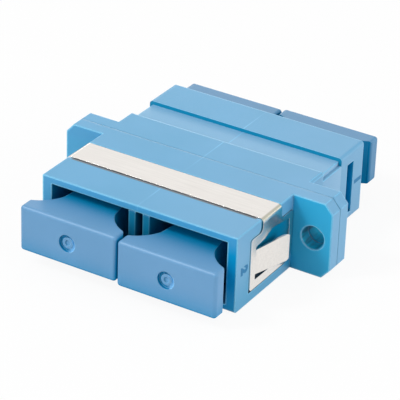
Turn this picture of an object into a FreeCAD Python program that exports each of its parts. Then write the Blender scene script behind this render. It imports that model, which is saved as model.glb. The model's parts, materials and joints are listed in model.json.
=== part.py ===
import FreeCAD, Part
import os

# Duplex fibre adapter with panel flange, side clip and four dust caps.
# Millimetres.  X runs across the two ports, Y from the front ports to the
# rear ports, Z up.  The origin lies midway between the two ear holes, on the
# front face of the flange.

os.makedirs("parts", exist_ok=True)
V = FreeCAD.Vector

# Driving dimensions
PORT_PITCH = 12.7
PORT_W = 10.0
FRONT_PORT_H = 7.7
REAR_PORT_H = 7.5
BODY_W = 25.11
BODY_H = 9.35
FRONT_LEN = 11.95
FLANGE_W = 35.1
FLANGE_T = 3.54
SEAM_Y = 1.69
EAR_CHAMFER_X = 1.01
EAR_CHAMFER_Z = 1.15
EAR_PITCH = 30.4
EAR_HOLE_D = 2.8
HOLE_BREAK = 0.1
EDGE_R = 0.1
SILL_R = 0.35
SEAM_BREAK = 0.05

DIVIDER_RECESS = 0.24
CORE_SLOT_W = 0.92
CORE_SLOT_END = 1.6
KEY_SLOT_W = 3.0
KEY_SLOT_L = 4.5

REAR_W = 25.73
COLLAR_END = 6.23
WAIST_END = 10.52
REAR_END = 15.9
WAIST_W = 24.86
WAIST_H = 8.11
WAIST_LEDGE_H = 7.13
COLLAR_CHAMFER = 0.25
BAND_H = 9.01
BAND_EDGE_R = 0.4
BAND_SLOT_Y = (12.05, 13.5)
BAND_SLOT_Z = (-3.53, 3.0)
BAND_SLOT_DEPTH = 0.75

SHEET = 0.28
CLIP_PROUD = 0.26
CLIP_SHIFT = -0.115
CLIP_SINK = 0.02
CLIP_BEND_R = 0.55
CLIP_CLEAR = 0.04
STRIP_FRONT_GAP = 0.25
LEG_END_GAP = 0.27
CLIP_FLOOR_GAP = 0.02
STRIP_Y = (-6.7, -2.72)
LEG_Y = (-9.12, -0.15)
LEG_BOTTOM = -3.26
FRONT_SHOULDER = 3.1
REAR_SHOULDER = 2.85
NECK_R = 0.6
LEG_FRONT_R = 0.35
LEG_REAR_R = 1.3
POCKET_CORNER_R = 0.08
WINDOW_Y = (-8.12, -0.85)
WINDOW_Z = (-2.22, 1.9)
WINDOW_REAR_RISE = 0.18
WINDOW_PEAK_RISE = 0.7
WINDOW_PEAK_Y = (-4.85, -3.95)
WINDOW_PEAK_FOOT = -6.2
TONGUE_ROOT_Z = (-1.52, 1.46)
TONGUE_END_Z = (-1.74, 1.64)
TONGUE_TIP = (14.0, -3.0)
TONGUE_R = 0.55

PLATE_W = 10.5
PLATE_H = 8.1
PLATE_T = 1.0
PLATE_CLEAR = 0.05
HOLDER_D = 3.9
HOLDER_BORE = 3.3
HOLDER_LIP = 0.5
HOLDER_LIP_D = 2.6
ARM_IN = 3.85
ARM_OUT = 4.5
ARM_H = 3.0
ARM_LEN = 7.4
HOOK_TIP = 3.55

SLEEVE_D = 3.2
SLEEVE_BORE = 2.49
SLEEVE_LEN = 11.4
SLEEVE_SLIT = 0.5
SLEEVE_PLAY = 0.15

CAP_STAND = 4.3
CAP_HEAD_W = 12.55
CAP_H = 5.6
CAP_HEAD_T = 1.8
CAP_NECK_W = 6.8
CAP_PLUG_W = 6.2
CAP_LEN = 13.15
CAP_HOLLOW_W = 5.2
CAP_HOLLOW_H = 4.9
CAP_HOLLOW_L = 7.0
CAP_EDGE_R = 0.4
MARK_D = 2.15
MARK_DEPTH = 0.38
MARK_DISC_D = 1.35
MARK_DISC_RISE = 0.22
MARK_EYE_D = 0.7
MARK_EYE_DEPTH = 0.12

# Where each loose cap settles in its port: side, front or rear, dx, pulled out by, dz
CAPS = {
    "dust_cap_front_left": (-1, -1, 0.0, 0.0, -0.13),
    "dust_cap_front_right": (1, -1, 0.03, 0.0, -0.45),
    "dust_cap_rear_left": (-1, 1, -0.35, 0.3, 0.05),
    "dust_cap_rear_right": (1, 1, -0.2, 0.3, 0.24),
}

HALF_W = BODY_W / 2
HALF_H = BODY_H / 2
PORT_X = PORT_PITCH / 2


def box(x0, x1, y0, y1, z0, z1):
    return Part.makeBox(x1 - x0, y1 - y0, z1 - z0, V(x0, y0, z0))


def slab(width, height, y0, y1, x=0.0):
    return box(x - width / 2, x + width / 2, y0, y1, -height / 2, height / 2)


def rod(diameter, y0, y1, x=0.0, z=0.0):
    return Part.makeCylinder(diameter / 2, y1 - y0, V(x, y0, z), V(0, 1, 0))


def extrude(points, direction):
    return Part.Face(Part.makePolygon(points + points[:1])).extrude(direction)


def flip_x(shape):
    return shape.mirror(V(0, 0, 0), V(1, 0, 0))


def flip_y(shape):
    return shape.mirror(V(0, 0, 0), V(0, 1, 0))


def both_sides(shape):
    return shape.fuse(flip_x(shape))


def edges(shape, test):
    return [e for e in shape.Edges if test(e.BoundBox)]


def along_y(b):
    return b.YLength > 0.01 and b.XLength < 0.01 and b.ZLength < 0.01


def along_x(b):
    return b.XLength > 0.01 and b.YLength < 0.01 and b.ZLength < 0.01


def along_z(b):
    return b.ZLength > 0.01 and b.XLength < 0.01 and b.YLength < 0.01


def at_y(b, y):
    return abs(b.YMin - y) < 0.01 and abs(b.YMax - y) < 0.01


# Housing

def flange_half(y0, y1):
    """Half of the flange plate with its four outer corners cut off."""
    hx, hz = FLANGE_W / 2, HALF_H
    cx, cz = EAR_CHAMFER_X, EAR_CHAMFER_Z
    outline = [(hx, hz - cz), (hx - cx, hz), (cx - hx, hz), (-hx, hz - cz),
               (-hx, cz - hz), (cx - hx, -hz), (hx - cx, -hz), (hx, cz - hz)]
    plate = extrude([V(x, y0, z) for x, z in outline], V(0, y1 - y0, 0))
    plate = plate.makeChamfer(SEAM_BREAK, edges(plate, lambda b: at_y(b, SEAM_Y)))
    outer_y = y0 if abs(y1 - SEAM_Y) < 0.01 else y1
    return plate.makeFillet(EDGE_R, edges(plate, lambda b: at_y(b, outer_y)))


def ear_holes(shape, outer_y):
    """Two screw holes whose rims are broken at the outer face and the seam."""
    for side in (-1, 1):
        x = side * EAR_PITCH / 2
        shape = shape.cut(rod(EAR_HOLE_D, -1, FLANGE_T + 1, x))
        for y in (outer_y, SEAM_Y):
            inward = 1 if y < SEAM_Y or (y == SEAM_Y and outer_y > SEAM_Y) else -1
            rim = Part.makeCone(EAR_HOLE_D / 2 + HOLE_BREAK, EAR_HOLE_D / 2, HOLE_BREAK,
                                V(x, y, 0), V(0, inward, 0))
            shape = shape.cut(rim)
    return shape


def port_cavities(shape, y0, y1, height, pocket_y0, pocket_y1):
    """Two ports and, at the seam, the wider pocket for each insert plate."""
    for side in (-1, 1):
        x = side * PORT_X
        pocket = slab(PLATE_W + 2 * PLATE_CLEAR, PLATE_H + 2 * PLATE_CLEAR,
                      pocket_y0, pocket_y1, x)
        shape = shape.cut(slab(PORT_W, height, y0, y1, x)).cut(pocket)
    return shape


def key_slots(shape, y0, y1):
    for side in (-1, 1):
        x = side * PORT_X
        shape = shape.cut(box(x - KEY_SLOT_W / 2, x + KEY_SLOT_W / 2,
                              y0, y1, -HALF_H - 1, -2))
    return shape


def front_body():
    body = slab(BODY_W, BODY_H, -FRONT_LEN, SEAM_Y - 0.5)
    front = -FRONT_LEN
    sill = edges(body, lambda b: along_x(b) and at_y(b, front) and b.ZMin < 0)
    body = body.makeFillet(SILL_R, sill)
    top = edges(body, lambda b: b.ZMin > 0 and (along_y(b) or at_y(b, front)))
    return body.makeFillet(EDGE_R, top)


def clip_pocket(shape):
    """Groove over the top and pocket in each side that the clip lies in."""
    floor_w = HALF_W + CLIP_PROUD + CLIP_SHIFT - SHEET - CLIP_FLOOR_GAP
    floor_h = HALF_H - CLIP_SINK - SHEET - CLIP_FLOOR_GAP
    core_r = CLIP_BEND_R - SHEET - CLIP_FLOOR_GAP
    y0, y1 = LEG_Y[0] - 1, 0.0
    core = bend_core(floor_w, floor_h, core_r, y0, y1)
    shell = box(-HALF_W - 1, HALF_W + 1, y0, y1, -HALF_H - 1, HALF_H + 1).cut(core)
    pocket = leg_prism(CLIP_CLEAR, STRIP_FRONT_GAP, LEG_END_GAP, POCKET_CORNER_R)
    return shape.cut(shell.common(pocket))


def front_shell():
    shell = front_body().fuse(flange_half(0, SEAM_Y))
    mouth_w = PORT_PITCH + PORT_W
    front = -FRONT_LEN
    shell = shell.cut(slab(mouth_w, FRONT_PORT_H, front - 1, front + DIVIDER_RECESS))
    shell = port_cavities(shell, front - 1, SEAM_Y + 1, FRONT_PORT_H,
                          SEAM_Y - PLATE_T - PLATE_CLEAR, SEAM_Y + 1)
    shell = shell.cut(slab(CORE_SLOT_W, FRONT_PORT_H, front - 1, -CORE_SLOT_END))
    shell = key_slots(shell, front - 1, front + KEY_SLOT_L)
    shell = clip_pocket(shell)
    return ear_holes(shell, 0.0).removeSplitter()


def rear_collar():
    collar = slab(REAR_W, BODY_H, FLANGE_T - 0.5, COLLAR_END)
    return collar.makeChamfer(COLLAR_CHAMFER, edges(collar, along_y))


def rear_waist():
    low = slab(REAR_W, WAIST_LEDGE_H, COLLAR_END - 0.5, WAIST_END + 0.5)
    high = slab(WAIST_W, WAIST_H, COLLAR_END - 0.5, WAIST_END + 0.5)
    return low.fuse(high)


def rear_band():
    band = slab(REAR_W, BAND_H, WAIST_END, REAR_END)
    band = band.makeFillet(BAND_EDGE_R, edges(band, along_y))
    band = band.makeChamfer(EDGE_R, edges(band, lambda b: at_y(b, REAR_END)))
    y0, y1 = BAND_SLOT_Y
    z0, z1 = BAND_SLOT_Z
    x0 = REAR_W / 2 - BAND_SLOT_DEPTH
    return band.cut(both_sides(box(x0, x0 + 2, y0, y1, z0, z1)))


def rear_shell():
    shell = flange_half(SEAM_Y, FLANGE_T).fuse([rear_collar(), rear_waist(), rear_band()])
    shell = port_cavities(shell, SEAM_Y - 1, REAR_END + 1, REAR_PORT_H,
                          SEAM_Y - 1, SEAM_Y + PLATE_T + PLATE_CLEAR)
    shell = shell.cut(slab(CORE_SLOT_W, REAR_PORT_H, FLANGE_T + CORE_SLOT_END, REAR_END + 1))
    shell = key_slots(shell, REAR_END - KEY_SLOT_L, REAR_END + 1)
    return ear_holes(shell, FLANGE_T).removeSplitter()


# Clip

def bend_core(half_w, top, radius, y0, y1):
    """Solid under the sheet: flat top, rounded upper corners, tall sides."""
    core = box(-half_w, half_w, y0, y1, -HALF_H - 3, top)
    upper = edges(core, lambda b: along_y(b) and b.ZMin > 0)
    return core.makeFillet(radius, upper)


def leg_prism(grow, front_gap, end_gap, corner):
    """Side outline of strip, neck and leg, run right across the body.

    The clip itself is cut by it with no gaps, and its pocket with gaps all round.
    """
    x0 = -HALF_W - 3
    run = V(2 * (HALF_W + 3), 0, 0)
    y0, y1 = LEG_Y[0] - grow, LEG_Y[1] + grow
    s0, s1 = STRIP_Y[0] - front_gap, STRIP_Y[1] + grow
    outline = [(s0, HALF_H + 2), (s0, FRONT_SHOULDER + grow), (y0, FRONT_SHOULDER + grow),
               (y0, LEG_BOTTOM - end_gap), (y1, LEG_BOTTOM - end_gap),
               (y1, REAR_SHOULDER + grow), (s1, REAR_SHOULDER + grow), (s1, HALF_H + 2)]
    prism = extrude([V(x0, y, z) for y, z in outline], run)
    corner_r = {1: NECK_R - grow, 2: LEG_FRONT_R, 3: corner,
                4: LEG_REAR_R + grow, 5: LEG_FRONT_R, 6: NECK_R - grow}
    for index, radius in corner_r.items():
        y, z = outline[index]
        corner = edges(prism, lambda b: along_x(b) and abs(b.YMin - y) < 0.01
                       and abs(b.ZMin - z) < 0.01)
        prism = prism.makeFillet(radius, corner)
    return prism


def clip_window():
    """Opening in the leg, peaked at the top, that frees the tongue."""
    x0 = HALF_W - 2
    y0, y1 = WINDOW_Y
    z0, z1 = WINDOW_Z
    peak = z1 + WINDOW_PEAK_RISE
    rear = z1 + WINDOW_REAR_RISE
    outline = [(y0, z0), (y1, z0), (y1, rear), (WINDOW_PEAK_Y[1], peak),
               (WINDOW_PEAK_Y[0], peak), (WINDOW_PEAK_FOOT, rear), (y0, z1)]
    window = extrude([V(x0, y, z) for y, z in outline], V(4, 0, 0))
    return window.makeFillet(0.2, edges(window, along_x))


def tongue_outline():
    """Side view of the tongue: it widens a little towards its free end."""
    x0 = HALF_W - 2
    root_y = WINDOW_Y[0] - 0.4
    tip_y = TONGUE_TIP[1] + 0.1
    points = [(root_y, TONGUE_ROOT_Z[0]), (tip_y, TONGUE_END_Z[0]),
              (tip_y, TONGUE_END_Z[1]), (root_y, TONGUE_ROOT_Z[1])]
    prism = extrude([V(x0, y, z) for y, z in points], V(5, 0, 0))
    free = edges(prism, lambda b: along_x(b) and at_y(b, tip_y))
    return prism.makeFillet(TONGUE_R, free)


def clip_tongue():
    """Sprung tongue: rooted at the front of the window, flared outward."""
    face = HALF_W + CLIP_PROUD
    tip_x, tip_y = TONGUE_TIP[0] - CLIP_SHIFT, TONGUE_TIP[1]
    root_y = WINDOW_Y[0]
    outline = [(face, root_y - 0.4), (face, root_y + 0.1), (tip_x, tip_y),
               (tip_x - SHEET, tip_y + 0.07), (face - SHEET, root_y + 0.17),
               (face - SHEET, root_y - 0.4)]
    z0 = -HALF_H
    blade = extrude([V(x, y, z0) for x, y in outline], V(0, 0, BODY_H))
    return blade.common(tongue_outline())


def mounting_clip():
    top = HALF_H - CLIP_SINK
    side = HALF_W + CLIP_PROUD
    y0, y1 = LEG_Y[0] - 1, 0.5
    outer = bend_core(side, top, CLIP_BEND_R, y0, y1)
    inner = bend_core(side - SHEET, top - SHEET, CLIP_BEND_R - SHEET, y0 - 1, y1 + 1)
    clip = outer.cut(inner).common(leg_prism(0.0, 0.0, 0.0, LEG_FRONT_R))
    clip = clip.cut(both_sides(clip_window()))
    clip = clip.fuse(both_sides(clip_tongue())).removeSplitter()
    clip.translate(V(CLIP_SHIFT, 0, 0))
    return clip


# Inserts and sleeves between the shells

def latch_arm():
    """One latch arm with a ramped hook pointing at the ferrule axis."""
    tip = -ARM_LEN
    outline = [(ARM_OUT, -PLATE_T / 2), (ARM_OUT, tip), (ARM_IN + 0.15, tip),
               (HOOK_TIP, tip + 1.0), (HOOK_TIP, tip + 1.5), (ARM_IN, tip + 1.8),
               (ARM_IN, -PLATE_T / 2)]
    points = [V(x, y, -ARM_H / 2) for x, y in outline]
    return extrude(points, V(0, 0, ARM_H))


def latch_insert():
    """Plate, sleeve holder and two latch arms, reaching out along -Y."""
    end = -(SLEEVE_LEN / 2 + SLEEVE_PLAY)
    plate = slab(PLATE_W, PLATE_H, -PLATE_T, 0)
    holder = rod(HOLDER_D, end - HOLDER_LIP, -PLATE_T / 2)
    holder = holder.makeChamfer(0.15, edges(holder, lambda b: at_y(b, end - HOLDER_LIP)))
    solid = plate.fuse([holder, both_sides(latch_arm())])
    solid = solid.cut(rod(HOLDER_BORE, end, 1))
    return solid.cut(rod(HOLDER_LIP_D, end - 1, end + 1)).removeSplitter()


def alignment_sleeve():
    half = SLEEVE_LEN / 2
    tube = rod(SLEEVE_D, -half, half).cut(rod(SLEEVE_BORE, -half - 1, half + 1))
    gap = SLEEVE_SLIT / 2
    return tube.cut(box(-gap, gap, -half - 1, half + 1, 0, SLEEVE_D))


# Dust cap

def cap_head():
    """Flat tab with rounded edges, sharp only where the neck grows out."""
    head = slab(CAP_HEAD_W, CAP_H, 0, CAP_HEAD_T)
    rounded = edges(head, lambda b: not (along_x(b) and at_y(b, CAP_HEAD_T)))
    return head.makeFillet(CAP_EDGE_R, rounded)


def cap_neck():
    """Hollow-curved neck that narrows from the head to the plug."""
    hx = CAP_HEAD_W / 2 - CAP_EDGE_R
    nx = CAP_NECK_W / 2
    px = CAP_PLUG_W / 2
    root = CAP_HEAD_T / 2
    back = CAP_HEAD_T
    mid_x, mid_y, end_y, plug_y = 4.55, 2.68, 4.35, 6.6
    floor = -CAP_H / 2

    def line(x0, y0, x1, y1):
        return Part.makeLine(V(x0, y0, floor), V(x1, y1, floor))

    def bow(side):
        return Part.Arc(V(side * hx, back, floor), V(side * mid_x, mid_y, floor),
                        V(side * nx, end_y, floor)).toShape()

    wire = Part.Wire([line(-hx, root, hx, root), line(hx, root, hx, back), bow(1),
                      line(nx, end_y, px, plug_y), line(px, plug_y, px, CAP_LEN),
                      line(px, CAP_LEN, -px, CAP_LEN), line(-px, CAP_LEN, -px, plug_y),
                      line(-px, plug_y, -nx, end_y), bow(-1), line(-hx, back, -hx, root)])
    return Part.Face(wire).extrude(V(0, 0, CAP_H))


def cap_mark():
    """Round sink in the outer face with a low disc and a dimple in it."""
    disc_y = MARK_DEPTH - MARK_DISC_RISE
    eye_y = disc_y + MARK_EYE_DEPTH
    sink = rod(MARK_D, -1, MARK_DEPTH)
    disc = rod(MARK_DISC_D, disc_y, MARK_DEPTH + 1).cut(rod(MARK_EYE_D, disc_y - 1, eye_y))
    return sink.cut(disc)


def dust_cap():
    """Outer face at y = 0, plug reaching inward along +Y."""
    cap = cap_head().fuse(cap_neck())
    hollow = slab(CAP_HOLLOW_W, CAP_HOLLOW_H, CAP_LEN - CAP_HOLLOW_L, CAP_LEN + 1)
    return cap.cut(hollow).cut(cap_mark()).removeSplitter()


def place_cap(side, end, dx, pulled, dz):
    cap = dust_cap()
    if end < 0:
        face = -FRONT_LEN - CAP_STAND - pulled
    else:
        cap = flip_y(cap)
        face = REAR_END + CAP_STAND + pulled
    cap.translate(V(side * PORT_X + dx, face, dz))
    return cap


def place_insert(side, end):
    insert = latch_insert()
    if end > 0:
        insert = flip_y(insert)
    insert.translate(V(side * PORT_X, SEAM_Y, 0))
    return insert


def place_sleeve(side):
    sleeve = alignment_sleeve()
    sleeve.translate(V(side * PORT_X, SEAM_Y, 0))
    return sleeve


def main():
    pieces = {
        "front_shell": front_shell(),
        "rear_shell": rear_shell(),
        "mounting_clip": mounting_clip(),
        "latch_insert_front_left": place_insert(-1, -1),
        "latch_insert_front_right": place_insert(1, -1),
        "latch_insert_rear_left": place_insert(-1, 1),
        "latch_insert_rear_right": place_insert(1, 1),
        "sleeve_left": place_sleeve(-1),
        "sleeve_right": place_sleeve(1),
    }
    for name, spot in CAPS.items():
        pieces[name] = place_cap(*spot)
    for name, shape in pieces.items():
        solids = shape.Solids
        if len(solids) == 1:
            shape = solids[0]
        print(name, "solids", len(solids), "valid", shape.isValid(),
              "volume", round(shape.Volume, 2))
        shape.exportStep("parts/" + name + ".step")


main()
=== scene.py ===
import json
import math

import bpy
from mathutils import Matrix, Vector


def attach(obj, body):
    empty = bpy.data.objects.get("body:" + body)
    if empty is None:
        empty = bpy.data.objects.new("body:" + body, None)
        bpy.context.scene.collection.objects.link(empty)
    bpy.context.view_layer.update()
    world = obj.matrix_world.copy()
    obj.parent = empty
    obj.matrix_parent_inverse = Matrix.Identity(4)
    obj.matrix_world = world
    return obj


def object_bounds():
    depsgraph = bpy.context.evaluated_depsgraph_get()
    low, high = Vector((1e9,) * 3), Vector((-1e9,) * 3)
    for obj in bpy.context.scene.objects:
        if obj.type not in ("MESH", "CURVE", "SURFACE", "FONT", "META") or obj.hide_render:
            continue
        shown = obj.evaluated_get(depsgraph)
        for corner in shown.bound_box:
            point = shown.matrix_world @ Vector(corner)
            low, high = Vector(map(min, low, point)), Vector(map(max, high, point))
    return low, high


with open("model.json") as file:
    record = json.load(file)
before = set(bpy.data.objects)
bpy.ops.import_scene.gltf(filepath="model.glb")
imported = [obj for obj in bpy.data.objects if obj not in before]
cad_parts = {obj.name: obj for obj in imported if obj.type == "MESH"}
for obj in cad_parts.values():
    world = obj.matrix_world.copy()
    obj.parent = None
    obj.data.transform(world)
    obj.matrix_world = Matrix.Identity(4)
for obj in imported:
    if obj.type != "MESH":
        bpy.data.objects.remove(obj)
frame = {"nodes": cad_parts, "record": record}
cad_low, cad_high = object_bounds()
nodes = frame["nodes"]
MM = 0.001


# Tones, each as linear red, green and blue

# Each plastic: two body tones, a painted highlight for its edges, a painted shade for its hollows
HOUSING_TONES = ((0.052, 0.294, 0.515), (0.062, 0.308, 0.540), (0.18, 0.55, 0.82), (0.0, 0.19, 0.42))
CAP_TONES = ((0.104, 0.280, 0.495), (0.113, 0.294, 0.518), (0.20, 0.44, 0.67), (0.000, 0.24, 0.48))
REAR_CAP_SHARES = (0.60, 0.77, 0.79)
# Painted shade in crevices, as shares of the hollow tone
CREVICE_SHADE_SHARES = (0.40, 0.40, 0.40)

# Painted light on the housing: it turns greyer to the right, its faces along Y are purer and those
# along X paler, as light falls on each side
HOUSING_LIT_RIGHT = (0.20, 0.36, 0.54)
# Painted light and shade on faces that look along Y
END_LEFT = (0.075, 0.350, 0.600)
END_RIGHT = (0.000, 0.290, 0.585)
END_TOP = (0.085, 0.325, 0.590)
END_EAR = (0.030, 0.385, 0.660)
END_HOLLOW_SHADE = (0.0, 0.240, 0.500)
# Painted highlight on the edges of faces that look along Y
END_EDGE_HIGHLIGHT = (0.30, 0.76, 0.96)
# Painted shade on the wall between the ports
DIVIDER_SHADE_TONE = (0.0, 0.175, 0.320)
# Painted light on faces that look along X, painted shade low on the front shell
FLANK_LIT_TONE = (0.122, 0.345, 0.560)
FLANK_LOW_SHADE = (0.040, 0.300, 0.520)
# Painted light on the waist of the rear shell
WAIST_LIGHT_TONE = (0.270, 0.480, 0.680)
# Painted shade on the step in front of the rear band
STEP_SHADE_TONE = (0.004, 0.245, 0.440)
SEAM_TONE = (0.050, 0.210, 0.330)
# Painted shadow on the rim of the top groove
RIM_SHADOW_TONE = (0.008, 0.035, 0.065)
# Painted shade, nearly black, in slots and low in the pockets
GAP_SHADE_TONE = (0.006, 0.016, 0.030)
# Painted shade on the walls inside the flanks
POCKET_SHADE_TONE = (0.0, 0.185, 0.345)
# Painted shade and light, streaked inside the holes of the ears
BORE_SHADE_TONES = ((0.020, 0.170, 0.270), (0.010, 0.400, 0.620))
# Painted light on the right half of each cap's sunk ring
MARK_PAINTED_LIGHT = (0.36, 0.72, 1.0)
# Painted shade for the numerals, in place of sunk marks
NUMERAL_SHADE_TONES = ((0.0, 0.13, 0.30), (0.0, 0.19, 0.40))

STEEL_TONES = ((0.79, 0.76, 0.725), (0.84, 0.81, 0.775))
# Painted highlight on the steel's edges
STEEL_EDGE_HIGHLIGHT = (0.80, 0.78, 0.76)
# Darker front and back edges of the top strip
STRIP_EDGE_DARK_TONE = (0.012, 0.016, 0.022)
# Painted darker reflection on the bends
BEND_REFLECTION_TONE = (0.52, 0.51, 0.43)
CERAMIC_TONES = ((0.80, 0.79, 0.75), (0.88, 0.87, 0.84))
PAPER_TONES = ((0.82, 0.82, 0.82), (0.84, 0.84, 0.84))


# Places on the part, from the middle of the adapter; a pair is where a border starts and ends

# Across X, the same on the left and on the right
DIVIDER_SIDE = (2.2 * MM, 2.4 * MM)
MARK_X = 6.37 * MM
STRIP_BEND = (11.9 * MM, 12.1 * MM)
SUNK_FLANK = (12.44 * MM, 12.50 * MM)
LEG_SLOT_SIDE = (12.30 * MM, 12.53 * MM)
EAR_HOLE_X = 15.2 * MM

# Across X, from left to right
WITNESS_X = -0.1 * MM
RIGHTWARD_BODY = (-4.0 * MM, 14.0 * MM)
RIGHTWARD_END = (-15.0 * MM, 12.0 * MM)
RIGHT_EAR_ROOT = (12.6 * MM, 12.8 * MM)

# Along Y, the same ahead and behind
GROOVE_RIM = (6.94 * MM, 7.20 * MM)

# Along Y, from front to rear
LEG_SLOT_LENGTH = (-9.30 * MM, -0.10 * MM)
SUNK_WALL_BACK = (-0.25 * MM, -0.10 * MM)
FRONT_FLANK_BACK = (-0.2 * MM, 0.0)
SEAM_Y = 1.69 * MM
WAIST_START = 6.23 * MM
WAIST_STOP = 10.52 * MM
STEP_DEPTH = 0.10 * MM

# Up Z
LEG_SLOT_HEIGHT = (-3.60 * MM, -3.20 * MM)
FLANK_DROP = (-3.5 * MM, 1.5 * MM)
POCKET_DROP = (-1.50 * MM, 0.80 * MM)
END_RISE = (2.4 * MM, 3.7 * MM)
DIVIDER_TOP = (3.45 * MM, 3.60 * MM)
WITNESS_TOP = (3.9 * MM, 4.0 * MM)
BEND_HEIGHT = (3.6 * MM, 4.0 * MM)
STRIP_TOP = (4.2 * MM, 4.6 * MM)

# Distances from a line or point
WITNESS_HALF = (0.03 * MM, 0.10 * MM)
SEAM_HALF = (0.03 * MM, 0.10 * MM)
SEAM_PLAIN = (0.25 * MM, 0.45 * MM)
MARK_RADIUS = (1.10 * MM, 1.20 * MM)
MARK_HALF_HEIGHT = (1.45 * MM, 1.50 * MM)
MARK_RIGHTWARD = (-0.10 * MM, 0.45 * MM)
EAR_HOLE_RADIUS = (1.405 * MM, 1.43 * MM)


# Camera: the view is set by angles about the frame's axes, a distance and a small aim offset

CAMERA_AZIMUTH = math.radians(30.55)
CAMERA_ELEVATION = math.radians(29.0)
CAMERA_ROLL = math.radians(2.09)
CAMERA_DISTANCE = 268.0 * MM
CAMERA_LENS = 211.9
CAMERA_SENSOR = 36.0
CAMERA_CLIP = (0.01, 20.0)
AIM_RIGHT = 0.73 * MM
AIM_UP = 4.0 * MM
AIM_FOOT = -4.635 * MM


def make_camera():
    az, el = CAMERA_AZIMUTH, CAMERA_ELEVATION
    ahead = Vector((-math.sin(az) * math.cos(el), math.cos(az) * math.cos(el), -math.sin(el)))
    right = Vector((math.cos(az), math.sin(az), 0.0))
    up = right.cross(ahead)
    tilt = Matrix.Rotation(-CAMERA_ROLL, 3, ahead)
    right, up = tilt @ right, tilt @ up
    foot = Vector((0.0, 0.0, AIM_FOOT))
    place = foot + right * AIM_RIGHT + up * AIM_UP - ahead * CAMERA_DISTANCE
    data = bpy.data.cameras.new("camera")
    data.lens = CAMERA_LENS
    data.sensor_width = CAMERA_SENSOR
    data.clip_start, data.clip_end = CAMERA_CLIP
    camera = bpy.data.objects.new("camera", data)
    axes = Matrix((right, up, -ahead)).transposed().to_4x4()
    camera.matrix_world = Matrix.Translation(place) @ axes
    bpy.context.scene.collection.objects.link(camera)
    bpy.context.scene.camera = camera


# Node helpers

def new_material(name):
    material = bpy.data.materials.new(name)
    material.use_nodes = True
    tree = material.node_tree
    tree.nodes.clear()
    return material, tree


def add(tree, kind, **settings):
    node = tree.nodes.new(kind)
    for key, value in settings.items():
        setattr(node, key, value)
    return node


def set_or_link(tree, value, socket):
    if isinstance(value, bpy.types.NodeSocket):
        tree.links.new(value, socket)
    else:
        socket.default_value = value


def maths(tree, operation, first, second=0.0):
    node = add(tree, "ShaderNodeMath", operation=operation)
    set_or_link(tree, first, node.inputs[0])
    set_or_link(tree, second, node.inputs[1])
    return node.outputs["Value"]


def product(tree, first, *others):
    for other in others:
        first = maths(tree, "MULTIPLY", first, other)
    return first


def ramp(tree, value, low, high, out_low, out_high):
    """A straight run between two outputs, held level outside the two inputs."""
    node = add(tree, "ShaderNodeMapRange")
    for key, number in (("From Min", low), ("From Max", high),
                        ("To Min", out_low), ("To Max", out_high)):
        node.inputs[key].default_value = number
    tree.links.new(value, node.inputs["Value"])
    return node.outputs["Result"]


def rises(tree, value, low, high):
    return ramp(tree, value, low, high, 0.0, 1.0)


def falls(tree, value, low, high):
    return ramp(tree, value, low, high, 1.0, 0.0)


def between(tree, value, low, high, soft):
    """1 where a value lies between two limits, with soft ends."""
    return product(tree, rises(tree, value, low - soft, low), falls(tree, value, high, high + soft))


def mix_colour(tree, factor, first, second):
    node = add(tree, "ShaderNodeMix", data_type="RGBA")
    tree.links.new(factor, node.inputs["Factor"])
    for socket, colour in ((node.inputs["A"], first), (node.inputs["B"], second)):
        set_or_link(tree, (*colour, 1.0) if isinstance(colour, tuple) else colour, socket)
    return node.outputs["Result"]


def shade(tone, shares):
    return tuple(share * part for share, part in zip(shares, tone))


def object_coords(tree):
    return add(tree, "ShaderNodeTexCoord").outputs["Object"]


def surface_normal(tree):
    return add(tree, "ShaderNodeNewGeometry").outputs["Normal"]


def along(tree, vector, axis):
    split = add(tree, "ShaderNodeSeparateXYZ")
    tree.links.new(vector, split.inputs["Vector"])
    return split.outputs[axis]


def size_along(tree, vector, axis):
    """The size of one part of a vector, the same on both sides of the adapter's middle."""
    return maths(tree, "ABSOLUTE", along(tree, vector, axis))


def faces_axis(tree, axis, low=0.80, high=0.95):
    """1 on faces square to one axis of the frame, 0 on faces that lean away from it."""
    return rises(tree, size_along(tree, surface_normal(tree), axis), low, high)


def looks_ahead(tree):
    """1 on faces that look towards the front of the adapter."""
    return falls(tree, along(tree, surface_normal(tree), "Y"), -0.95, -0.60)


def noise(tree, coords, per_mm, detail=2.0, rough=0.5, stretch=(1, 1, 1)):
    """Noise texture in the frame's own coordinates, scaled per millimetre."""
    mapping = add(tree, "ShaderNodeMapping")
    mapping.inputs["Scale"].default_value = [per_mm * s / MM for s in stretch]
    tree.links.new(coords, mapping.inputs["Vector"])
    texture = add(tree, "ShaderNodeTexNoise")
    texture.inputs["Scale"].default_value = 1.0
    texture.inputs["Detail"].default_value = detail
    texture.inputs["Roughness"].default_value = rough
    tree.links.new(mapping.outputs["Vector"], texture.inputs["Vector"])
    return texture.outputs["Fac"]


def openness(tree, reach, alone):
    """1 in the open, falling to 0 deep in corners, slots and ports."""
    node = add(tree, "ShaderNodeAmbientOcclusion", samples=8, only_local=alone)
    node.inputs["Distance"].default_value = reach
    return node.outputs["AO"]


def soft_edges(tree, radius):
    """The normal rounded near sharp edges, and its agreement with the flat one: 1 away from edges."""
    bevel = add(tree, "ShaderNodeBevel", samples=6)
    bevel.inputs["Radius"].default_value = radius
    dot = add(tree, "ShaderNodeVectorMath", operation="DOT_PRODUCT")
    tree.links.new(bevel.outputs["Normal"], dot.inputs[0])
    tree.links.new(surface_normal(tree), dot.inputs[1])
    return bevel.outputs["Normal"], dot.outputs["Value"]


def bump(tree, height, normal, strength, depth):
    node = add(tree, "ShaderNodeBump")
    node.inputs["Strength"].default_value = strength
    node.inputs["Distance"].default_value = depth
    tree.links.new(height, node.inputs["Height"])
    tree.links.new(normal, node.inputs["Normal"])
    return node.outputs["Normal"]


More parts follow.
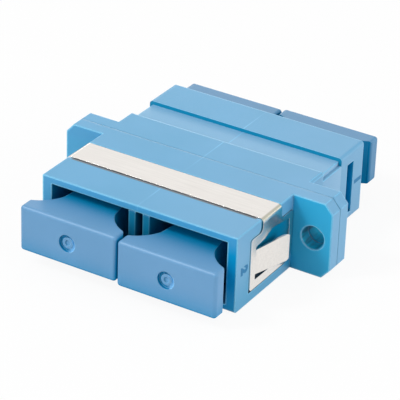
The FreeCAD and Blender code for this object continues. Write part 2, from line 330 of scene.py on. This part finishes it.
def finish_shader(tree, colour, roughness, normal, metallic=0.0, ior=1.5, gloss=None):
    shader = add(tree, "ShaderNodeBsdfPrincipled")
    if gloss is not None:
        tree.links.new(gloss, shader.inputs["Specular IOR Level"])
    shader.inputs["Metallic"].default_value = metallic
    shader.inputs["IOR"].default_value = ior
    tree.links.new(colour, shader.inputs["Base Color"])
    tree.links.new(roughness, shader.inputs["Roughness"])
    tree.links.new(normal, shader.inputs["Normal"])
    out = add(tree, "ShaderNodeOutputMaterial")
    tree.links.new(shader.outputs["BSDF"], out.inputs["Surface"])


# Masks over the moulded parts

# How softly a mask starts and ends
SOFT_BORDER = 0.05 * MM
RIM_BORDER = 0.04 * MM
FINE_BORDER = 0.02 * MM
HAIR_BORDER = 0.01 * MM

WITNESS_NOISE = (0.42, 0.60)
WITNESS_STRENGTH = (0.10, 0.55)
MARK_REACH = 0.6 * MM
MARK_OPENNESS = (0.55, 0.85)
WAIST_STRENGTH = (0.25, 0.60)
DIVIDER_STRENGTH = 0.85


def witness_line(tree, coords, noise_value):
    """Faint broken line where the two mould halves met, along Y at the middle of the top."""
    off = maths(tree, "ABSOLUTE", maths(tree, "SUBTRACT", along(tree, coords, "X"), WITNESS_X))
    upper = rises(tree, along(tree, coords, "Z"), *WITNESS_TOP)
    broken = ramp(tree, noise_value, *WITNESS_NOISE, *WITNESS_STRENGTH)
    return product(tree, falls(tree, off, *WITNESS_HALF), upper, broken)


def groove_rim_shadow(tree, coords):
    """Painted shadow on the top groove's rim ahead of the strip, and on all level faces as far from
    the middle.
    """
    as_far = between(tree, size_along(tree, coords, "Y"), *GROOVE_RIM, RIM_BORDER)
    inboard = falls(tree, size_along(tree, coords, "X"), *STRIP_BEND)
    return product(tree, as_far, inboard, faces_axis(tree, "Z"))


def sunk_walls(tree, coords):
    """Front walls inside the flanks: the pockets behind the legs of the clip, the port sides."""
    sunk = falls(tree, size_along(tree, coords, "X"), *SUNK_FLANK)
    ahead = falls(tree, along(tree, coords, "Y"), *SUNK_WALL_BACK)
    return product(tree, sunk, ahead, faces_axis(tree, "X"))


def leg_gap_shade(tree, coords):
    """Painted shade in the slot left open under the leg of the clip."""
    low = between(tree, along(tree, coords, "Z"), *LEG_SLOT_HEIGHT, FINE_BORDER)
    beside = between(tree, size_along(tree, coords, "X"), *LEG_SLOT_SIDE, HAIR_BORDER)
    ahead = between(tree, along(tree, coords, "Y"), *LEG_SLOT_LENGTH, FINE_BORDER)
    return product(tree, low, beside, ahead)


def mark_lit_half(tree, coords):
    """Painted light on the right half of the sunk ring on each cap, which is the paler half."""
    across = along(tree, coords, "X")
    middle = product(tree, maths(tree, "SIGN", across), MARK_X)
    off = maths(tree, "SUBTRACT", across, middle)
    lit_rightward = rises(tree, off, *MARK_RIGHTWARD)
    near = falls(tree, size_along(tree, coords, "Z"), *MARK_HALF_HEIGHT)
    inside = falls(tree, maths(tree, "ABSOLUTE", off), *MARK_RADIUS)
    sunk = falls(tree, openness(tree, MARK_REACH, alone=True), *MARK_OPENNESS)
    return product(tree, lit_rightward, near, inside, sunk)


def waist_painted_light(tree, coords):
    """Painted light on the waist of the rear shell, paler towards the band behind it and on walls
    inside the flanks.
    """
    backward = along(tree, coords, "Y")
    held = between(tree, backward, WAIST_START, WAIST_STOP, SOFT_BORDER)
    paler = product(tree, ramp(tree, backward, WAIST_START, WAIST_STOP, *WAIST_STRENGTH), held)
    sunk = falls(tree, size_along(tree, coords, "X"), *SUNK_FLANK)
    wall = product(tree, sunk, faces_axis(tree, "X"), held)
    off_ends = falls(tree, faces_axis(tree, "Y"), 0.0, 1.0)
    return product(tree, maths(tree, "MAXIMUM", paler, wall), off_ends)


def band_step_shade(tree, coords):
    """Painted shade on the low wall where the waist meets the front of the rear band."""
    start, stop = WAIST_STOP - FINE_BORDER, WAIST_STOP + STEP_DEPTH
    near = between(tree, along(tree, coords, "Y"), start, stop, HAIR_BORDER)
    return product(tree, near, looks_ahead(tree))


def ear_bore(tree, coords):
    """1 inside the holes of the ears."""
    across = maths(tree, "SUBTRACT", size_along(tree, coords, "X"), EAR_HOLE_X)
    height = along(tree, coords, "Z")
    squares = maths(tree, "ADD", product(tree, across, across), product(tree, height, height))
    return falls(tree, maths(tree, "SQRT", squares), *EAR_HOLE_RADIUS)


def divider_shade_mask(tree, coords):
    """Painted shade on the wall between the two ports, below the top wall."""
    middle = falls(tree, size_along(tree, coords, "X"), *DIVIDER_SIDE)
    below = ramp(tree, along(tree, coords, "Z"), *DIVIDER_TOP, DIVIDER_STRENGTH, 0.0)
    return product(tree, middle, below)


def seam_distance(tree, coords):
    """Distance along Y from the seam where the front and rear shells meet."""
    return maths(tree, "ABSOLUTE", maths(tree, "SUBTRACT", along(tree, coords, "Y"), SEAM_Y))


# Moulded plastics

HOUSING_EDGE_RADIUS = 0.28 * MM
HOUSING_FLATNESS = (0.93, 0.9998)
HOUSING_ROUGH = (0.36, 0.48)
HOUSING_IOR = 1.6
CAP_EDGE_RADIUS = 0.12 * MM
CAP_FLATNESS = (0.86, 0.9998)
CAP_ROUGH = (0.38, 0.50)
CAP_IOR = 1.5

# How open a place is, as far as the reach, where its tone turns from painted hollow shade to open
HOLLOW_REACH = 6.0 * MM
HOUSING_OPENNESS = (0.25, 0.65)
PORT_EDGE_OPENNESS = (0.50, 0.70)
CAP_OPENNESS = (0.45, 0.85)
HOUSING_CREVICE_REACH = 2.0 * MM
HOUSING_CREVICE = (0.10, 0.42)
CAP_CREVICE_REACH = 1.2 * MM
CAP_CREVICE = (0.04, 0.34)
CAP_CREVICE_TONE = (0.75, 1.0)

# Shares of a tone or of the gloss
RIGHT_SHARE = 0.25
TOP_SHARE = 0.55
SEAM_SHARE = 0.6
END_DULLNESS = 0.80
DULLEST = 0.1
GLOSS_OPENNESS = (0.35, 1.0)
GLOSS_LEVELS = (0.05, 0.55)

# Noise: how fine it is, and the middle of its values that is spread over the whole range
DRIFT_PER_MM = 0.16
DRIFT_SPREAD = (0.35, 0.65)
GRAIN_PER_MM = 9.0
GRAIN_DEPTH = 0.004 * MM
BORE_STREAK_PER_MM = 1.6
BORE_STREAK_SPREAD = (0.4, 0.6)
NOISE_SPREAD = (0.3, 0.7)


def drifting_tone(tree, coords, dark, light):
    """A slow noise, and the two body tones mixed by it."""
    drift = noise(tree, coords, DRIFT_PER_MM)
    return drift, mix_colour(tree, rises(tree, drift, *DRIFT_SPREAD), dark, light)


def open_gloss(tree, open_air):
    """Deep hollows shine less than open faces."""
    return ramp(tree, open_air, *GLOSS_OPENNESS, *GLOSS_LEVELS)


def dulled(tree, gloss, mask):
    return product(tree, gloss, ramp(tree, mask, 0.0, 1.0, 1.0, DULLEST))


def finish_plastic(tree, coords, colour, gloss, rounded, rough, ior):
    """The fine spark texture of the mould, over the whole piece."""
    grain = noise(tree, coords, GRAIN_PER_MM, rough=0.6)
    roughness = ramp(tree, grain, *NOISE_SPREAD, *rough)
    normal = bump(tree, grain, rounded, 0.25, GRAIN_DEPTH)
    finish_shader(tree, colour, roughness, normal, ior=ior, gloss=gloss)


def end_light_and_shade(tree, coords, divider_shade, open_air):
    """Painted light and shade on faces that look along Y: paler to the left, along the top and on the
    right ear.
    """
    across = along(tree, coords, "X")
    raised = ramp(tree, along(tree, coords, "Z"), *END_RISE, 0.0, TOP_SHARE)
    tone = mix_colour(tree, rises(tree, across, *RIGHTWARD_END), END_LEFT, END_RIGHT)
    tone = mix_colour(tree, raised, tone, END_TOP)
    tone = mix_colour(tree, rises(tree, across, *RIGHT_EAR_ROOT), tone, END_EAR)
    tone = mix_colour(tree, divider_shade, tone, DIVIDER_SHADE_TONE)
    return mix_colour(tree, open_air, END_HOLLOW_SHADE, tone)


def flank_light_and_shade(tree, coords):
    """Painted light on faces that look along X, with painted shade low on the front shell."""
    low = falls(tree, along(tree, coords, "Z"), *FLANK_DROP)
    ahead = falls(tree, along(tree, coords, "Y"), *FRONT_FLANK_BACK)
    return mix_colour(tree, product(tree, low, ahead), FLANK_LIT_TONE, FLANK_LOW_SHADE)


def pocket_shade_tone(tree, coords):
    """Painted shade on the walls inside the flanks, nearly black low down."""
    low = falls(tree, along(tree, coords, "Z"), *POCKET_DROP)
    return mix_colour(tree, low, POCKET_SHADE_TONE, GAP_SHADE_TONE)


def bore_shade_tone(tree, coords):
    """Painted shade and light inside the holes of the ears, in streaks along the holes."""
    streaks = noise(tree, coords, BORE_STREAK_PER_MM, stretch=(1.0, 0.15, 1.0))
    return mix_colour(tree, rises(tree, streaks, *BORE_STREAK_SPREAD), *BORE_SHADE_TONES)


def housing_edge_highlight(tree, body, exposure):
    """Painted highlight on edges, most of all on faces that look along Y, but not inside the ports."""
    edge_highlight = HOUSING_TONES[2]
    tone = mix_colour(tree, faces_axis(tree, "Y", 0.70, 0.95), edge_highlight, END_EDGE_HIGHLIGHT)
    return mix_colour(tree, rises(tree, exposure, *PORT_EDGE_OPENNESS), body, tone)


def housing_body(tree, coords, divider_shade, open_air):
    """The housing's tone all over with its painted light and shade, before the painted highlight on
    its edges and its dark lines of painted shade.
    """
    dark, light, edge_highlight, hollow_shade = HOUSING_TONES
    drift, body = drifting_tone(tree, coords, dark, light)
    # Painted light, greyer towards the right
    lit_rightward = ramp(tree, along(tree, coords, "X"), *RIGHTWARD_BODY, 0.0, RIGHT_SHARE)
    body = mix_colour(tree, lit_rightward, body, HOUSING_LIT_RIGHT)
    # Painted shade in the housing's hollows
    body = mix_colour(tree, open_air, hollow_shade, body)
    end = end_light_and_shade(tree, coords, divider_shade, open_air)
    body = mix_colour(tree, faces_axis(tree, "Y"), body, end)
    body = mix_colour(tree, faces_axis(tree, "X"), body, flank_light_and_shade(tree, coords))
    body = mix_colour(tree, waist_painted_light(tree, coords), body, WAIST_LIGHT_TONE)
    body = mix_colour(tree, sunk_walls(tree, coords), body, pocket_shade_tone(tree, coords))
    body = mix_colour(tree, ear_bore(tree, coords), body, bore_shade_tone(tree, coords))
    seam = ramp(tree, seam_distance(tree, coords), *SEAM_HALF, SEAM_SHARE, 0.0)
    body = mix_colour(tree, seam, body, SEAM_TONE)
    body = mix_colour(tree, witness_line(tree, coords, drift), body, edge_highlight)
    # Painted shade in narrow crevices
    crevice_shade = rises(tree, openness(tree, HOUSING_CREVICE_REACH, alone=False), *HOUSING_CREVICE)
    return mix_colour(tree, crevice_shade, shade(hollow_shade, CREVICE_SHADE_SHARES), body)


def housing_dullness(tree, coords):
    """The ends, the walls inside the flanks and the holes of the ears shine less."""
    sunk = maths(tree, "MAXIMUM", sunk_walls(tree, coords), ear_bore(tree, coords))
    return maths(tree, "MAXIMUM", product(tree, faces_axis(tree, "Y"), END_DULLNESS), sunk)


def housing_plastic():
    """Moulded plastic of the two shells and the latch inserts."""
    material, tree = new_material("housing_plastic")
    coords = object_coords(tree)
    exposure = openness(tree, HOLLOW_REACH, alone=True)
    open_air = rises(tree, exposure, *HOUSING_OPENNESS)
    divider_shade = divider_shade_mask(tree, coords)
    body = housing_body(tree, coords, divider_shade, open_air)
    rounded, flat = soft_edges(tree, HOUSING_EDGE_RADIUS)
    near_seam = falls(tree, seam_distance(tree, coords), *SEAM_PLAIN)
    plain = maths(tree, "MAXIMUM", rises(tree, flat, *HOUSING_FLATNESS), divider_shade)
    plain = maths(tree, "MAXIMUM", plain, near_seam)
    # Painted highlight on edges, not at the seam or on the wall between the ports
    colour = mix_colour(tree, plain, housing_edge_highlight(tree, body, exposure), body)
    colour = mix_colour(tree, leg_gap_shade(tree, coords), colour, GAP_SHADE_TONE)
    colour = mix_colour(tree, band_step_shade(tree, coords), colour, STEP_SHADE_TONE)
    colour = mix_colour(tree, groove_rim_shadow(tree, coords), colour, RIM_SHADOW_TONE)
    gloss = dulled(tree, open_gloss(tree, open_air), housing_dullness(tree, coords))
    finish_plastic(tree, coords, colour, gloss, rounded, HOUSING_ROUGH, HOUSING_IOR)
    return material


def cap_plastic(name, tones, shade_ahead=False):
    """Moulded plastic of a dust cap; its last argument paints shade on the faces that look ahead."""
    dark, light, edge_highlight, hollow_shade = tones
    material, tree = new_material(name)
    coords = object_coords(tree)
    open_air = rises(tree, openness(tree, HOLLOW_REACH, alone=False), *CAP_OPENNESS)
    gloss = open_gloss(tree, open_air)
    # Painted shade in the cap's hollows
    body = mix_colour(tree, open_air, hollow_shade, drifting_tone(tree, coords, dark, light)[1])
    body = mix_colour(tree, mark_lit_half(tree, coords), body, MARK_PAINTED_LIGHT)
    if shade_ahead:
        # Painted shade on faces that look towards the shell
        hidden_shade = looks_ahead(tree)
        body = mix_colour(tree, hidden_shade, body, hollow_shade)
        gloss = dulled(tree, gloss, hidden_shade)
    # Painted shade in narrow crevices, lighter on the caps
    crevice_shade = openness(tree, CAP_CREVICE_REACH, alone=False)
    crevice_shade = ramp(tree, crevice_shade, *CAP_CREVICE, *CAP_CREVICE_TONE)
    body = mix_colour(tree, crevice_shade, shade(hollow_shade, CREVICE_SHADE_SHARES), body)
    rounded, flat = soft_edges(tree, CAP_EDGE_RADIUS)
    # Painted highlight on the cap's edges
    colour = mix_colour(tree, rises(tree, flat, *CAP_FLATNESS), edge_highlight, body)
    finish_plastic(tree, coords, colour, gloss, rounded, CAP_ROUGH, CAP_IOR)
    return material


# Other materials

STEEL_STREAK_PER_MM = 3.0
STEEL_CLOUD_PER_MM = 0.35
STEEL_EDGE_RADIUS = 0.06 * MM
STEEL_FLATNESS = (0.75, 0.99)
STEEL_ROUGH = (0.25, 0.13)
STRIP_EDGE_DARK_SHARE = 0.85
GRINDING_PER_MM = 4.0
CERAMIC_ROUGH = (0.18, 0.28)
SCRATCH_DEPTH = 0.002 * MM
FLECK_PER_MM = 3.0
NUMERAL_ROUGH = (0.45, 0.60)


def sheet_steel():
    """Rolled spring steel: fine streaks along the strip, darker front and back edges on the top strip,
    and a painted darker reflection on the bends.
    """
    material, tree = new_material("sheet_steel")
    coords = object_coords(tree)
    height = along(tree, coords, "Z")
    stretch = (0.05, 1.0, 1.0)
    streak = noise(tree, coords, STEEL_STREAK_PER_MM, detail=4.0, rough=0.6, stretch=stretch)
    colour = mix_colour(tree, rises(tree, streak, *NOISE_SPREAD), *STEEL_TONES)
    rounded, flat = soft_edges(tree, STEEL_EDGE_RADIUS)
    # Painted highlight on the steel's edges
    colour = mix_colour(tree, rises(tree, flat, *STEEL_FLATNESS), STEEL_EDGE_HIGHLIGHT, colour)
    # The front and back edges of the top strip darker
    inboard = ramp(tree, size_along(tree, coords, "X"), *STRIP_BEND, STRIP_EDGE_DARK_SHARE, 0.0)
    strip_edges_dark = product(tree, inboard, faces_axis(tree, "Y", 0.6, 0.9))
    colour = mix_colour(tree, strip_edges_dark, colour, STRIP_EDGE_DARK_TONE)
    # Painted darker reflection on the bends
    leaning, upright = faces_axis(tree, "X", 0.15, 0.45), faces_axis(tree, "X", 0.85, 0.99)
    bend_reflection = product(tree, maths(tree, "SUBTRACT", leaning, upright), rises(tree, height, *BEND_HEIGHT))
    colour = mix_colour(tree, bend_reflection, colour, BEND_REFLECTION_TONE)
    brushed = ramp(tree, height, *STRIP_TOP, *STEEL_ROUGH)
    cloud = ramp(tree, noise(tree, coords, STEEL_CLOUD_PER_MM), *NOISE_SPREAD, -0.02, 0.02)
    normal = bump(tree, streak, rounded, 0.10, SCRATCH_DEPTH)
    finish_shader(tree, colour, maths(tree, "ADD", brushed, cloud), normal, metallic=1.0)
    return material


def ground_ceramic():
    """Fired and ground zirconia, almost white, with faint grinding rings."""
    material, tree = new_material("ground_ceramic")
    rings = noise(tree, object_coords(tree), GRINDING_PER_MM, stretch=(0.1, 1.0, 0.1))
    colour = mix_colour(tree, rings, *CERAMIC_TONES)
    roughness = ramp(tree, rings, *NOISE_SPREAD, *CERAMIC_ROUGH)
    normal = bump(tree, rings, surface_normal(tree), 0.1, SCRATCH_DEPTH)
    finish_shader(tree, colour, roughness, normal)
    return material


def numeral_plastic():
    """The moulded numerals, darker than the housing plastic: painted shade in place of sunk marks."""
    material, tree = new_material("moulded_mark")
    fleck = noise(tree, object_coords(tree), FLECK_PER_MM)
    colour = mix_colour(tree, fleck, *NUMERAL_SHADE_TONES)
    roughness = ramp(tree, fleck, *NOISE_SPREAD, *NUMERAL_ROUGH)
    finish_shader(tree, colour, roughness, surface_normal(tree))
    return material


def dress_nodes():
    housing = housing_plastic()
    caps = cap_plastic("cap_plastic", CAP_TONES)
    rear_tones = tuple(shade(tone, REAR_CAP_SHARES) for tone in CAP_TONES)
    rear_caps = cap_plastic("rear_cap_plastic", rear_tones, shade_ahead=True)
    looks = {"housing": housing, "insert": housing, "dust_cap": caps,
             "clip": sheet_steel(), "sleeve": ground_ceramic()}
    slot_of = {s["node"]: s["material_slot"] for s in frame["record"]["subparts"]}
    for name, thing in nodes.items():
        look = looks[slot_of[name]]
        if name.startswith("dust_cap_rear"):
            look = rear_caps
        for slot in thing.material_slots:
            slot.material = look


# Moulded port numbers, one on the right side of each shell

# Shares of a digit's height: what the type size is divided by, and how far strokes are widened
DIGIT_SHARE = 0.72
STROKE_SHARE = 0.11
DIGIT_DEPTH = 0.01 * MM

# Each numeral: name, digit, place in millimetres, height
NUMERALS = (
    ("numeral_front", "2", (12.56, -10.32, 0.0), 1.25 * MM),
    ("numeral_rear", "1", (12.87, 14.75, 0.0), 1.4 * MM),
)


def make_numeral(name, digit, place, height):
    """A small digit lying along Y on a face that looks towards +X."""
    data = bpy.data.curves.new(name, "FONT")
    data.body = digit
    data.size = height / DIGIT_SHARE
    data.align_x = "CENTER"
    data.align_y = "CENTER"
    data.offset = STROKE_SHARE * height
    data.extrude = DIGIT_DEPTH
    data.materials.append(numeral_plastic())
    piece = bpy.data.objects.new(name, data)
    bpy.context.scene.collection.objects.link(piece)
    across, upward, outward = Vector((0, 0, -1)), Vector((0, 1, 0)), Vector((1, 0, 0))
    turn = Matrix((across, upward, outward)).transposed().to_4x4()
    piece.matrix_world = Matrix.Translation(Vector(place) * MM) @ turn
    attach(piece, "adapter")


# Stage

WORLD_LIGHT = 0.58
WHITE = (1.0, 1.0, 1.0, 1.0)
FLOOR_WHITE = 0.92
FLOOR_SIZE = 4.0
KEY_PLACE = (-0.27, -0.29, 0.45)

# Each light: name, place, size, watts, whether gloss shows it, whether it lights dull faces
LIGHTS = (
    ("key_box", KEY_PLACE, 0.12, 1.4, True, True),
    ("edge_glint", KEY_PLACE, 0.12, 0.6, True, False),
    ("right_box", (0.45, 0.05, 0.16), 0.35, 1.0, False, True),
    ("front_box", (-0.22, -0.40, 0.22), 0.35, 0.6, False, True),
    ("rear_low_left", (-0.30, 0.51, 0.105), 0.20, 0.4, True, True),
    ("rear_low_right", (0.28, 0.53, 0.105), 0.20, 0.3, True, True),
)


def light_path_white(tree):
    """1 for the rays that see a backdrop directly, in gloss or through glass."""
    path = add(tree, "ShaderNodeLightPath").outputs
    seen = maths(tree, "MAXIMUM", path["Is Camera Ray"], path["Is Glossy Ray"])
    return maths(tree, "MAXIMUM", seen, path["Is Transmission Ray"])


def make_world():
    """A soft even light, seen as plain white."""
    world = bpy.data.worlds.new("studio")
    bpy.context.scene.world = world
    world.use_nodes = True
    tree = world.node_tree
    tree.nodes.clear()
    strength = ramp(tree, light_path_white(tree), 0.0, 1.0, WORLD_LIGHT, 1.0)
    glow = add(tree, "ShaderNodeBackground")
    glow.inputs["Color"].default_value = WHITE
    tree.links.new(strength, glow.inputs["Strength"])
    out = add(tree, "ShaderNodeOutputWorld")
    tree.links.new(glow.outputs["Background"], out.inputs["Surface"])


def make_floor():
    """Pale paper: it lights the part fully, and is seen mostly as plain white."""
    bpy.ops.mesh.primitive_plane_add(size=FLOOR_SIZE, location=(0.0, 0.0, cad_low.z))
    floor = bpy.context.object
    floor.name = "floor"
    material, tree = new_material("floor_paper")
    fibre = noise(tree, object_coords(tree), 0.5, detail=3.0)
    paper = add(tree, "ShaderNodeBsdfDiffuse")
    tree.links.new(mix_colour(tree, fibre, *PAPER_TONES), paper.inputs["Color"])
    white = add(tree, "ShaderNodeEmission")
    white.inputs["Strength"].default_value = 1.0
    both = add(tree, "ShaderNodeMixShader")
    share = ramp(tree, light_path_white(tree), 0.0, 1.0, 0.0, FLOOR_WHITE)
    tree.links.new(share, both.inputs["Fac"])
    tree.links.new(paper.outputs["BSDF"], both.inputs[1])
    tree.links.new(white.outputs["Emission"], both.inputs[2])
    out = add(tree, "ShaderNodeOutputMaterial")
    tree.links.new(both.outputs["Shader"], out.inputs["Surface"])
    floor.data.materials.append(material)


def make_light(name, place, size, watts, glossy, diffuse):
    """A square lamp that points at the middle of the part."""
    data = bpy.data.lights.new(name, "AREA")
    data.shape = "SQUARE"
    data.size = size
    data.energy = watts
    light = bpy.data.objects.new(name, data)
    bpy.context.scene.collection.objects.link(light)
    toward = (cad_low + cad_high) / 2 - Vector(place)
    light.location = place
    light.rotation_euler = toward.to_track_quat("-Z", "Y").to_euler()
    light.visible_glossy = glossy
    light.visible_diffuse = diffuse


bpy.context.scene.view_settings.view_transform = "Standard"
make_camera()
make_world()
make_floor()
for light_row in LIGHTS:
    make_light(*light_row)
dress_nodes()
for numeral_row in NUMERALS:
    make_numeral(*numeral_row)
